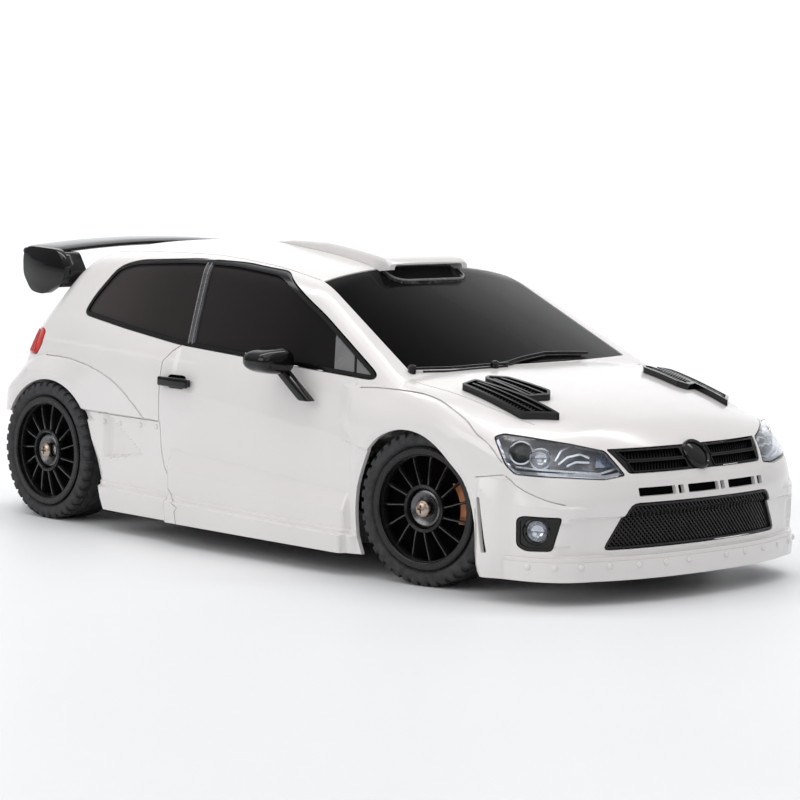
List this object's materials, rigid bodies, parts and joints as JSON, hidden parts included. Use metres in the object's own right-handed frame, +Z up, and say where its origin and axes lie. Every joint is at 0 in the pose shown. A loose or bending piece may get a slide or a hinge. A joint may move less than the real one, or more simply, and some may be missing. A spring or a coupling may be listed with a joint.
{
  "type": "rc drift car",
  "caption": "Small remote control drift car: glossy white rally hatchback shell over a rear-drive chassis with steered front wheels, dark windows and a black rear wing.",
  "frame": {"origin": "centre of the car's bounding box in plan, on the ground under the tyres", "axes": "+X towards the front of the car, +Y to its left, +Z up"},
  "size_m": [0.2218, 0.1112, 0.0741],
  "materials": {
    "shell": "gloss white",
    "glass": "dark smoked gloss",
    "lens": "clear gloss",
    "red_lens": "red gloss",
    "gloss_black": "gloss black",
    "black_plastic": "satin black",
    "rim": "satin black",
    "tyre": "matt dark grey",
    "foam": "matt black foam",
    "steel": "bright steel",
    "aluminium": "satin",
    "brass": "satin",
    "battery": "blue heat-shrink",
    "board": "green circuit board",
    "fibre": "glass-fibre sheet"
  },
  "bodies": {
    "chassis": {"chassis_tub": "black_plastic", "suspension_plate": "black_plastic", "kingpin_left": "steel", "kingpin_right": "steel", "kingpin_spring_left": "steel", "kingpin_spring_right": "steel", "steering_servo": "black_plastic", "battery_pack": "battery", "control_board": "board", "front_body_mount": "black_plastic", "rear_body_mount": "black_plastic", "foam_bumper": "foam", "t_plate": "fibre"},
    "shell": {"body_shell": "shell", "front_lip": "shell", "roof_scoop": "shell", "windshield": "glass", "rear_window": "glass", "side_window_left": "glass", "side_window_right": "glass", "headlight_left": "lens", "headlight_right": "lens", "tail_light_left": "red_lens", "tail_light_right": "red_lens", "fog_lamp_left": "gloss_black", "fog_lamp_right": "gloss_black", "rear_wing": "gloss_black", "mirror_left": "gloss_black", "mirror_right": "gloss_black", "door_handle_left": "gloss_black", "door_handle_right": "gloss_black", "upper_grille": "black_plastic", "lower_grille": "foam", "hood_vent_left": "black_plastic", "hood_vent_right": "black_plastic"},
    "power_switch": {"power_switch": "black_plastic"},
    "servo_horn": {"servo_horn": "black_plastic"},
    "steering_link": {"steering_link": "black_plastic"},
    "bush_left": {"kingpin_bush_left": "brass"},
    "knuckle_left": {"knuckle_left": "aluminium", "front_wheel_screw_left": "steel"},
    "front_wheel_left": {"front_rim_left": "rim", "front_tyre_left": "tyre"},
    "bush_right": {"kingpin_bush_right": "brass"},
    "knuckle_right": {"knuckle_right": "aluminium", "front_wheel_screw_right": "steel"},
    "front_wheel_right": {"front_rim_right": "rim", "front_tyre_right": "tyre"},
    "rear_pod": {"rear_pod": "black_plastic", "motor": "steel"},
    "motor_pinion": {"motor_pinion": "brass"},
    "rear_axle": {"rear_axle": "steel", "spur_gear": "fibre", "rear_rim_left": "rim", "rear_rim_right": "rim", "rear_tyre_left": "tyre", "rear_tyre_right": "tyre", "rear_wheel_screw_left": "steel", "rear_wheel_screw_right": "steel"}
  },
  "joints": [
    {"name": "shell_lift", "type": "slide", "parent": "chassis", "child": "shell", "axis": [0, 0, 1], "range_m": [0, 0.08]},
    {"name": "power_switch_slide", "type": "slide", "parent": "chassis", "child": "power_switch", "axis": [1, 0, 0], "range_m": [0, 0.002]},
    {"name": "servo_turn", "type": "hinge", "parent": "chassis", "child": "servo_horn", "pos_m": [0.04935, 0, 0.0179], "axis": [0, 0, 1], "range_deg": [-12, 32]},
    {"name": "link_shift", "type": "slide", "parent": "chassis", "child": "steering_link", "axis": [0, 1, 0], "range_m": [-0.00125, 0.0033]},
    {"name": "suspension_left", "type": "slide", "parent": "chassis", "child": "bush_left", "axis": [0, 0, 1], "range_m": [0, 0.0012], "stiffness_N_per_m": 600, "springref_m": -0.0016, "deforming": ["kingpin_spring_left"]},
    {"name": "steering_left", "type": "hinge", "parent": "bush_left", "child": "knuckle_left", "pos_m": [0.06135, 0.0315, 0.0176], "axis": [0, 0, 1], "range_deg": [-32, 12]},
    {"name": "front_wheel_left", "type": "hinge", "parent": "knuckle_left", "child": "front_wheel_left", "pos_m": [0.06135, 0.0315, 0.0176], "axis": [-0.1736, 0.9848, 0], "continuous": true},
    {"name": "suspension_right", "type": "slide", "parent": "chassis", "child": "bush_right", "axis": [0, 0, 1], "range_m": [0, 0.0012], "stiffness_N_per_m": 600, "springref_m": -0.0016, "deforming": ["kingpin_spring_right"]},
    {"name": "steering_right", "type": "hinge", "parent": "bush_right", "child": "knuckle_right", "pos_m": [0.06135, -0.0315, 0.0176], "axis": [0, 0, 1], "range_deg": [-32, 12]},
    {"name": "front_wheel_right", "type": "hinge", "parent": "knuckle_right", "child": "front_wheel_right", "pos_m": [0.06135, -0.0315, 0.0176], "axis": [-0.1736, 0.9848, 0], "continuous": true},
    {"name": "rear_suspension", "type": "hinge", "parent": "chassis", "child": "rear_pod", "pos_m": [-0.05695, 0, 0.0059], "axis": [0, 1, 0], "range_deg": [0, 2], "stiffness_Nm_per_rad": 1.5, "springref_deg": -1.72},
    {"name": "rear_axle_spin", "type": "hinge", "parent": "rear_pod", "child": "rear_axle", "pos_m": [-0.07595, 0, 0.0176], "axis": [0, 1, 0], "continuous": true},
    {"name": "pinion_spin", "type": "hinge", "parent": "rear_pod", "child": "motor_pinion", "pos_m": [-0.06535, 0, 0.0152], "axis": [0, 1, 0], "continuous": true}
  ],
  "couplings": [
    {"joint": "steering_left", "follows": "servo_turn", "ratio": -1},
    {"joint": "steering_right", "follows": "servo_turn", "ratio": -1},
    {"joint": "link_shift", "follows": "servo_turn", "m_per_rad": 0.00585},
    {"joint": "pinion_spin", "follows": "rear_axle_spin", "ratio": -4}
  ]
}
